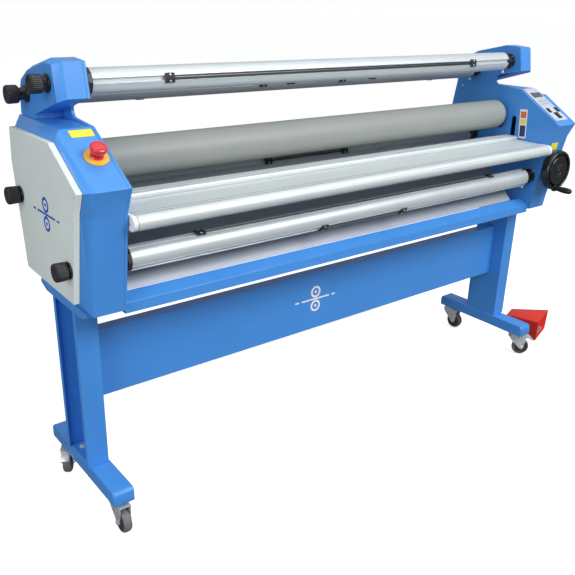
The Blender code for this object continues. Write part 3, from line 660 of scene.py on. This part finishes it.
def make_knob(key):
    node = key + "_tension_knob"
    lo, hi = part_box(node)
    at = Vector((0, middle(node).y, middle(node).z))
    start = low("left_head_shell" if key.startswith("upper") else "left_side_cover").x - GAP
    end = lo.x
    body = end + 0.030
    neck = rounded_profile([(0.0, start), (0.0218, start), (0.0225, start - 0.0010), (0.0225, start - 0.0042),
                            (0.0212, start - 0.0052), (0.0160, start - 0.0056), (0.0152, body + 0.0020),
                            (0.0, body + 0.0015)], 0.0006)
    on_axis(node + "_neck", neck, at, GLOSS, node, True)
    grip = rounded_profile([(0.0, body + 0.0012), (0.0190, body + 0.0012), (0.0226, body - 0.0020),
                            (0.0233, end + 0.0040), (0.0218, end + 0.0002), (0.0150, end),
                            (0.0140, end + 0.0012), (0.0, end + 0.0014)], 0.0016)

    def ribs(r, along, angle):
        return r if r < 0.0195 else r - 0.0011 * (1 - abs(math.sin(angle * 14))) ** 2

    on_axis(node + "_grip", grip, at, PLASTIC, node, slot="black_plastic", steps=168, shape=ribs, smooth=50)
    spindle = [(0.0, hi.x), (0.0052, hi.x), (0.0058, hi.x - 0.0008), (0.0058, start + 0.0002),
               (0.0, start + 0.0002)]
    on_axis(node + "_spindle", spindle, at, STEEL, node, slot="steel", steps=32)


def make_seat(key):
    """Right-hand seat: a black moulded cup on a flange, open for the journal, with its pull pin below."""
    node = key + "_shaft_seat"
    lo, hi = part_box(node)
    at = Vector((0, middle(node).y, middle(node).z))
    cup = [(0.0104, lo.x + 0.0015), (0.0120, lo.x), (0.0190, lo.x), (0.0205, lo.x + 0.0015),
           (0.0212, hi.x - 0.0105), (0.0262, hi.x - 0.0100), (0.0265, hi.x - 0.0090), (0.0265, hi.x),
           (0.0, hi.x), (0.0, hi.x - 0.0042), (0.0104, hi.x - 0.0042)]
    on_axis(node + "_cup", cup, at, PLASTIC, node, True)
    spots = []
    for turn in (45, 135, 225, 315):
        angle = math.radians(turn)
        spots.append(((hi.x - 0.0092, at.y + 0.0238 * math.cos(angle), at.z + 0.0238 * math.sin(angle)),
                      (-1, 0, 0)))
    screws(node + "_screws", spots, node, 0.0024)
    pin = key + "_latch_pin"
    bottom, top = low(pin).z, high(pin).z
    pin_at = Vector((middle(pin).x, middle(pin).y, 0))
    boss = [(0.0044, at.z - 0.0180), (0.0078, at.z - 0.0180), (0.0078, at.z - 0.0300), (0.0070, at.z - 0.0312),
            (0.0044, at.z - 0.0312)]
    on_axis(node + "_pin_boss", boss, pin_at, PLASTIC, node, slot="black_plastic", axis=(0, 0, 1), steps=32,
            ring=True)
    profile = rounded_profile([(0.0, top), (0.0036, top), (0.0036, bottom + 0.0070), (0.0056, bottom + 0.0066),
                               (0.0058, bottom + 0.0010), (0.0050, bottom), (0.0, bottom)], 0.0006)

    def knurl(r, along, angle):
        return r - 0.0003 * (1 - abs(math.sin(angle * 12))) if r > 0.005 else r

    on_axis(pin + "_turned", profile, pin_at, ZINC, pin, True, axis=(0, 0, 1), steps=72, shape=knurl, smooth=40)


# ---- table and bar
def groove(y, top, half, depth):
    """A groove's section, a little narrower at its floor."""
    floor = half - 0.0002
    return [(y + half, top), (y + floor, top - depth), (y - floor, top - depth), (y - half, top)]


def groove_shade_strips(name, grooves, half, top, x0, x1, node):
    """Black strips pressed into the grooves of an extrusion: painted shade, a dark fill standing for the shade
    in the grooves.
    """
    bm = bmesh.new()
    for y in grooves:
        prism(bm, [(y + half, top - 0.0024), (y + half, top - 0.0009), (y - half, top - 0.0009),
                   (y - half, top - 0.0024)], along_x(), x0, x1)
    belongs(mesh_piece(name, bm, RUBBER, 25), node, False)


def make_table():
    """Extruded top with a round grooved nose, three black strips of painted groove shade and an end cap at each
    side.
    """
    node = "feed_table"
    lo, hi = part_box(node)
    top, back = hi.z, hi.y
    under = top - 0.006
    nose_r = (hi.z - lo.z) / 2
    nose = (lo.y + nose_r, lo.z + nose_r)
    skirt_y, skirt_z = nose[0] + 0.028, nose[1] - nose_r
    cap = 0.012
    grooves = (back - 0.0443, back - 0.150, back - 0.168)
    section = [(back, top)]
    for y in grooves:
        section += groove(y, top, 0.0026, 0.0040)
    for start, end in ((90, 150), (154, 206), (210, 270)):
        section += arc(nose, nose_r, start, end, 12)
        if end < 270:
            notch = math.radians(end + 2)
            depth = nose_r - 0.0026
            section.append((nose[0] + depth * math.cos(notch), nose[1] + depth * math.sin(notch)))
    section += [(skirt_y, skirt_z), (skirt_y, under), (back, under)]
    bm = prism(bmesh.new(), section, along_x(), lo.x + cap + 0.0016, hi.x - cap - 0.0016)
    belongs(mesh_piece("feed_table_extrusion", bm, TABLE, 25), node)
    # painted shade: black strips darken the table's grooves
    groove_shade_strips("feed_table_groove_shade", grooves, 0.0021, top, lo.x + cap + 0.003, hi.x - cap - 0.003, node)
    cap_outline = arc(nose, nose_r, 90, 270, 30) + [(skirt_y, skirt_z), (skirt_y, top)]
    edge_y = skirt_y + 0.0005
    edge_outline = [(edge_y, under), (back, under), (back, top), (edge_y, top)]
    for side, x0, x1 in (("left", lo.x, lo.x + cap), ("right", hi.x - cap, hi.x)):
        for key, outline, material, width, segments in (("end_cap", cap_outline, WHITE, 0.0012, 3),
                                                        ("edge", edge_outline, TABLE, 0.0005, 2)):
            bm = prism(bmesh.new(), outline, along_x(), x0, x1)
            piece = soften(mesh_piece(side + "_table_" + key, bm, material, 25), width, segments, 50)
            belongs(piece, node, False)
    screws("table_cap_screws", [((lo.x, *nose), (-1, 0, 0)), ((hi.x, *nose), (1, 0, 0))], node, 0.0042)


def make_hold_down_bar():
    """Extruded bar with two black strips of painted groove shade and a pin at each end."""
    node = "hold_down_bar"
    lo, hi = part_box(node)
    front, back, bottom, top = lo.y, hi.y, lo.z, hi.z
    half_x = 0.850
    start, end = CENTRE_X - half_x, CENTRE_X + half_x
    grooves = (back - 0.012, front + 0.019)
    section = [(back, bottom), (back, top - 0.0035), (back - 0.0012, top - 0.0008), (back - 0.0035, top)]
    for y in grooves:
        section += groove(y, top, 0.0019, 0.0030)
    section += arc((front + 0.006, top - 0.006), 0.006, 90, 180, 8) + [(front, bottom)]
    bar = mesh_piece("hold_down_bar_extrusion", prism(bmesh.new(), section, along_x(), start, end), TABLE, 25)
    belongs(soften(bar, 0.0004, 2, 50), node)
    # painted shade: black strips darken the bar's grooves
    groove_shade_strips("hold_down_bar_groove_shade", grooves, 0.0014, top, start + 0.001, end - 0.001, node)
    at = Vector((CENTRE_X, middle(node).y + 0.0065, middle(node).z))
    for side, towards in (("left", -1), ("right", 1)):
        root, tip = towards * (half_x - 0.002), towards * 0.866
        pin = [(0.0, root), (0.0053, root), (0.0053, tip - towards * 0.001), (0.0045, tip), (0.0, tip)]
        on_axis("hold_down_bar_pin_" + side, pin, at, STEEL, node, slot="steel", steps=32)


# ---- handwheel
def make_handwheel():
    node = "handwheel"
    at = middle(node)
    at.y = 0
    r = (high(node).z - low(node).z) / 2
    inside, face = high(node).y, low(node).y
    back = face + 0.037
    deep = face + 0.0150
    disc = face + 0.0035
    profile = [(0.0, inside), (0.0070, inside), (0.0078, inside - 0.001), (0.0078, inside - 0.0205),
               (0.016, inside - 0.0210), (0.0160, back - 0.001), (r - 0.010, back - 0.002),
               (r - 0.0025, back - 0.006), (r, back - 0.013), (r, face + 0.010), (r - 0.0025, face + 0.0035),
               (r - 0.0075, face + 0.0022), (r - 0.0105, face + 0.0045), (r - 0.0120, deep), (r - 0.0185, deep),
               (r - 0.0200, disc + 0.003), (r - 0.0230, disc), (0.0240, disc + 0.0016), (0.0190, face + 0.0022),
               (0.0150, face + 0.0022), (0.0120, face + 0.0045), (0.0, face + 0.0050)]
    on_axis("handwheel_moulding", rounded_profile(profile, 0.0022), at, GLOSS, node, True, axis=(0, 1, 0),
            steps=96, smooth=28)
    screws("handwheel_screw", [((at.x, face + 0.0052, at.z), (0, -1, 0))], node, 0.0050, DARK_STEEL)
    make_grip(node, "handwheel_grip")


def make_grip(wheel, node):
    """The turned grip, and the boss on the wheel's rim that carries it."""
    at = middle(node)
    at.y = 0
    start, end = high(node).y, low(node).y
    boss = rounded_profile([(0.0, start + 0.012), (0.0135, start + 0.012), (0.0128, start + 0.0025),
                            (0.0118, start + 0.0004), (0.0, start + 0.0003)], 0.0012)
    on_axis(node + "_boss", boss, at, GLOSS, wheel, axis=(0, 1, 0), steps=40)
    grip = rounded_profile([(0.0, start), (0.0080, start), (0.0084, start - 0.004), (0.0093, start - 0.014),
                            (0.0112, start - 0.030), (0.0114, start - 0.044), (0.0104, start - 0.058),
                            (0.0070, end + 0.0012), (0.0040, end), (0.0, end)], 0.004, 4)
    on_axis(node + "_turned", grip, at, GLOSS, node, True, axis=(0, 1, 0))


# ---- controls
def make_borders(place):
    """Printed borders on the panel."""
    top = PANEL_THICKNESS
    borders = [("title", -0.0005, 0.0800, 0.0300, 0.0045), ("readout_border", 0.0025, 0.0530, 0.0315, 0.0160),
               ("keys_border", 0.0015, 0.0080, 0.0320, 0.0200)]
    for key, x, y, half_x, half_y in borders:
        outer = rounded_box(half_x, half_y, 0.0025, (x, y))
        inner = rounded_box(half_x - 0.0010, half_y - 0.0010, 0.0018, (x, y))
        bm = band(bmesh.new(), place, [(outer, top + 0.00005), (outer, top + 0.0003), (inner, top + 0.0003),
                                       (inner, top + 0.00005)])
        belongs(mesh_piece("panel_" + key, bm, PRINT_GREY, 0), "control_panel", False)


def make_keys(place):
    """Six flat keys and three lamps on the panel."""
    node, top = "control_panel", PANEL_THICKNESS
    keys = bmesh.new()
    for x in (-0.0170, 0.0015, 0.0200):
        for y in (0.0015, 0.0165):
            prism(keys, rounded_box(0.0062, 0.0048, 0.0018, (x, y)), place, top + 0.0001, top + 0.0009)
    belongs(soften(mesh_piece("panel_keys", keys, PRINT_GREY, 0), 0.0003, 2, 50), node, False)
    lamps = bmesh.new()
    for x in (-0.0170, 0.0015, 0.0200):
        revolve(lamps, [(0.0, 0.0010), (0.0012, 0.0008), (0.0017, 0.0)],
                place @ Matrix.Translation((x, 0.0260, top + 0.0001)), 20)
    belongs(mesh_piece("panel_lamps", lamps, RED), node, False)


def make_rocker(node, panel_at):
    """A rocker, and the bezel round it that stands on the panel."""
    top = PANEL_THICKNESS
    rounded_copy(node, 0.0006, GLOSS, 3, 20)
    along = [v.co.dot(SLOPE_UP) for v in frame["nodes"][node].data.vertices]
    half_x = (high(node).x - low(node).x) / 2
    half_y = (max(along) - min(along)) / 2
    at = axis_point(node)
    at = at - SLOPE_NORMAL * (at - panel_at).dot(SLOPE_NORMAL)
    outer = rounded_box(half_x + 0.0030, half_y + 0.0030, 0.0012)
    inner = rounded_box(half_x + 0.0007, half_y + 0.0007, 0.0006)
    bm = band(bmesh.new(), Matrix.Translation(at) @ SLOPE_TURN,
              [(outer, top + 0.0001), (outer, top + 0.0010), (inner, top + 0.0014), (inner, top + 0.0001)])
    belongs(mesh_piece(node + "_bezel", bm, PLASTIC, 0), "control_panel", False)


def make_controls():
    node = "control_panel"
    at = axis_point(node)
    place = Matrix.Translation(at) @ SLOPE_TURN
    rounded_copy(node, 0.0006, PANEL, 2, 40)
    make_borders(place)
    rounded_copy("display_window", 0.0006, DISPLAY, 2, 40)
    make_keys(place)
    for rocker in ("forward_rocker", "reverse_rocker", "power_rocker"):
        make_rocker(rocker, at)
    spots = [(at + SLOPE_TURN @ Vector((x, y, PANEL_THICKNESS)), SLOPE_NORMAL) for x in (-0.0340, 0.0370)
             for y in (-0.0885, 0.0885)]
    screws("panel_screws", spots, node, 0.0021)


def make_stop():
    """Ring plate, ribbed collar and mushroom, with three raised arrows on it."""
    base, button = "emergency_stop_base", "emergency_stop_button"
    at = axis_point(base)
    plate = [(0.0140, 0.0002), (0.0296, 0.0002), (0.0300, 0.0012), (0.0290, 0.0033), (0.0180, 0.0038),
             (0.0156, 0.0044), (0.0140, 0.0044)]
    on_axis("stop_ring_plate", plate, at, RING, base, True, axis=SLOPE_NORMAL, steps=72, ring=True)
    collar = rounded_profile([(0.0, 0.0040), (0.0162, 0.0040), (0.0166, 0.0060), (0.0150, 0.0078),
                              (0.0146, 0.0096), (0.0135, 0.0100), (0.0, 0.0100)], 0.0010)

    def ribs(r, along, angle):
        return r - 0.0004 * (1 - abs(math.sin(angle * 10))) if 0.0135 < r < 0.0161 else r

    on_axis("stop_collar", collar, at, RED, base, slot="stop_red", axis=SLOPE_NORMAL, steps=60, shape=ribs)
    head = rounded_profile([(0.0, 0.0165), (0.0118, 0.0165), (0.0120, 0.0180), (0.0182, 0.0186),
                            (0.0188, 0.0210), (0.0204, 0.0275), (0.0200, 0.0325), (0.0165, 0.0350),
                            (0.0100, 0.0358), (0.0, 0.0360)], 0.0016, 4)
    on_axis("stop_mushroom", head, at, RED, button, True, axis=SLOPE_NORMAL, steps=96)
    arrows = bmesh.new()
    for start in (0, 120, 240):
        outline = arc((0, 0), 0.0140, start, start + 62, 12) + arc((0, 0), 0.0122, start + 62, start, 12)
        prism(arrows, outline, Matrix.Translation(at) @ frame_from(SLOPE_NORMAL), 0.0342, 0.0364)
    belongs(mesh_piece("stop_arrows", arrows, RED, 0), button, False)


# ---- castors
def castor_axes(node):
    """A wheel's axle direction, its centre and its radius, from its own mesh."""
    co = [v.co.copy() for v in frame["nodes"][node].data.vertices]
    centre = sum(co, Vector()) / len(co)
    centre.z = middle(node).z

    def width(direction):
        along = [(v - centre).dot(direction) for v in co]
        return max(along) - min(along)

    steps = 720
    turns = [math.pi * step / steps for step in range(steps)]
    axle = min([Vector((math.cos(turn), math.sin(turn), 0)) for turn in turns], key=width)
    return axle, centre, (high(node).z - low(node).z) / 2


def make_castor(key):
    wheel, fork = key + "_castor_wheel", key + "_castor_fork"
    axle, centre, r = castor_axes(wheel)
    tread = rounded_profile([(r - 0.0075, -0.0125), (r - 0.0035, -0.0118), (r - 0.0006, -0.0080), (r, -0.0030),
                             (r, 0.0030), (r - 0.0006, 0.0080), (r - 0.0035, 0.0118), (r - 0.0075, 0.0125)],
                            0.0022, 4) + [(r - 0.0085, 0.0100), (r - 0.0085, -0.0100)]
    on_axis(wheel + "_tread", tread, centre, TREAD, wheel, True, axis=axle, steps=72, ring=True)
    hub = [(0.0054, -0.0138), (0.0110, -0.0138), (0.0125, -0.0105), (r - 0.0120, -0.0085), (r - 0.0095, -0.0118),
           (r - 0.0070, -0.0120), (r - 0.0070, 0.0120), (r - 0.0095, 0.0118), (r - 0.0120, 0.0085),
           (0.0125, 0.0105), (0.0110, 0.0138), (0.0054, 0.0138)]
    on_axis(wheel + "_hub", hub, centre, HUB, wheel, axis=axle, steps=60, ring=True)
    rounded_copy(fork, 0.0007, ZINC, 2, 40)
    nuts = bmesh.new()
    for side in (-1, 1):
        add_bolt(nuts, centre + axle * (side * 0.0178), axle * side, (0.0086, 0.0010), (0.0064, 0.0040),
                 (0.0056, 0.0046))
    belongs(mesh_piece(fork + "_nuts", nuts, ZINC), fork, False)


def make_brakes():
    for key in ("rear_left", "front_right"):
        rounded_copy(key + "_brake_pedal", 0.0005, ZINC, 2, 30)


# ---- foot switch and motor
def make_foot_switch():
    rounded_copy("foot_switch_hood", 0.0012, SWITCH, 3, 22)
    rounded_copy("foot_switch_pedal", 0.0006, STEEL, 2, 25)


def make_motor():
    node = "drive_motor"
    lo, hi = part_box(node)
    at = middle(node)
    at.x = 0
    r = (hi.z - lo.z) / 2
    profile = rounded_profile([(0.0, lo.x), (r * 0.80, lo.x), (r * 0.80, lo.x + 0.006), (r, lo.x + 0.007),
                               (r, hi.x - 0.014), (r * 0.86, hi.x - 0.012), (r * 0.86, hi.x - 0.002),
                               (r * 0.80, hi.x), (0.0, hi.x)], 0.0015)
    on_axis("drive_motor_case", profile, at, MOTOR, node, True, steps=96, smooth=30)


# ---- stage, light, camera
def split_for_camera(tree, seen, other, output):
    """Sends one shader to the camera's own rays and the other to all the rest."""
    path = node_of(tree, "ShaderNodeLightPath")
    choice = node_of(tree, "ShaderNodeMixShader")
    tree.links.new(path.outputs["Is Camera Ray"], choice.inputs[0])
    tree.links.new(other, choice.inputs[1])
    tree.links.new(seen, choice.inputs[2])
    tree.links.new(choice.outputs["Shader"], tree.nodes[output].inputs["Surface"])


def make_stage():
    """A floor that stays white to the eye and throws little light back up, as a dark studio floor does."""
    bm = bmesh.new()
    bmesh.ops.create_grid(bm, x_segments=4, y_segments=4, size=60.0)
    floor = mesh_piece("floor", bm, FLOOR, 0)
    floor.location = (0, 0, -0.0002)
    tree = FLOOR.node_tree
    dim = node_of(tree, "ShaderNodeBsdfDiffuse", Color=(0.24, 0.24, 0.25, 1.0))
    lift = node_of(tree, "ShaderNodeEmission", Strength=0.66)
    pale = node_of(tree, "ShaderNodeAddShader")
    tree.links.new(tree.nodes["Principled BSDF"].outputs["BSDF"], pale.inputs[0])
    tree.links.new(lift.outputs["Emission"], pale.inputs[1])
    split_for_camera(tree, pale.outputs["Shader"], dim.outputs["BSDF"], "Material Output")


def area_light(name, at, target, size, power):
    data = bpy.data.lights.new(name, "AREA")
    data.shape = "RECTANGLE"
    data.size, data.size_y = size
    data.energy = power
    light = bpy.data.objects.new(name, data)
    bpy.context.scene.collection.objects.link(light)
    light.location = at
    light.rotation_euler = (Vector(target) - Vector(at)).to_track_quat("-Z", "Y").to_euler()


def make_light():
    world = bpy.data.worlds.new("studio")
    bpy.context.scene.world = world
    world.use_nodes = True
    tree = world.node_tree
    sky = tree.nodes["Background"]
    sky.inputs["Color"].default_value = (0.97, 0.985, 1.0, 1.0)
    sky.inputs["Strength"].default_value = 0.36
    backdrop = node_of(tree, "ShaderNodeBackground", Strength=1.0, Color=(1.0, 1.0, 1.0, 1.0))
    split_for_camera(tree, backdrop.outputs["Background"], sky.outputs["Background"], "World Output")
    area_light("key", (1.2, -3.4, 3.6), (0.0, 0.0, 0.7), (2.6, 2.0), 178)
    area_light("top", (0.0, -0.2, 3.6), (0.0, 0.0, 0.8), (4.0, 2.0), 22)
    area_light("left_fill", (-3.8, -1.4, 1.8), (-0.6, 0.0, 0.7), (2.0, 2.2), 54)
    bpy.context.scene.view_settings.view_transform = "Standard"


def make_camera():
    turn, down, roll = math.radians(-38.70), math.radians(21.97), math.radians(1.571)
    forward = Vector((-math.sin(turn) * math.cos(down), math.cos(turn) * math.cos(down), -math.sin(down)))
    level = Vector((math.cos(turn), math.sin(turn), 0.0))
    over = level.cross(forward)
    right = level * math.cos(roll) + over * math.sin(roll)
    up = over * math.cos(roll) - level * math.sin(roll)
    data = bpy.data.cameras.new("camera")
    data.sensor_width = 36.0
    data.lens = 44.92
    data.clip_end = 200.0
    camera = bpy.data.objects.new("camera", data)
    bpy.context.scene.collection.objects.link(camera)
    camera.matrix_world = (Matrix.Translation((-1.6963, -1.69405, 1.3939))
                           @ Matrix((right, up, -forward)).transposed().to_4x4())
    bpy.context.scene.camera = camera


make_camera()
make_light()
make_stage()
make_sheet_metal()
make_cover_screws()
make_plate_screws()
make_stand_bolts()
make_rollers()
for KEY in SHAFTS:
    make_shaft(KEY)
    make_knob(KEY)
    make_seat(KEY)
make_table()
make_hold_down_bar()
make_handwheel()
make_controls()
make_stop()
make_slope_labels()
make_plate_label()
make_marks()
for KEY in CASTORS:
    make_castor(KEY)
make_brakes()
make_foot_switch()
make_motor()
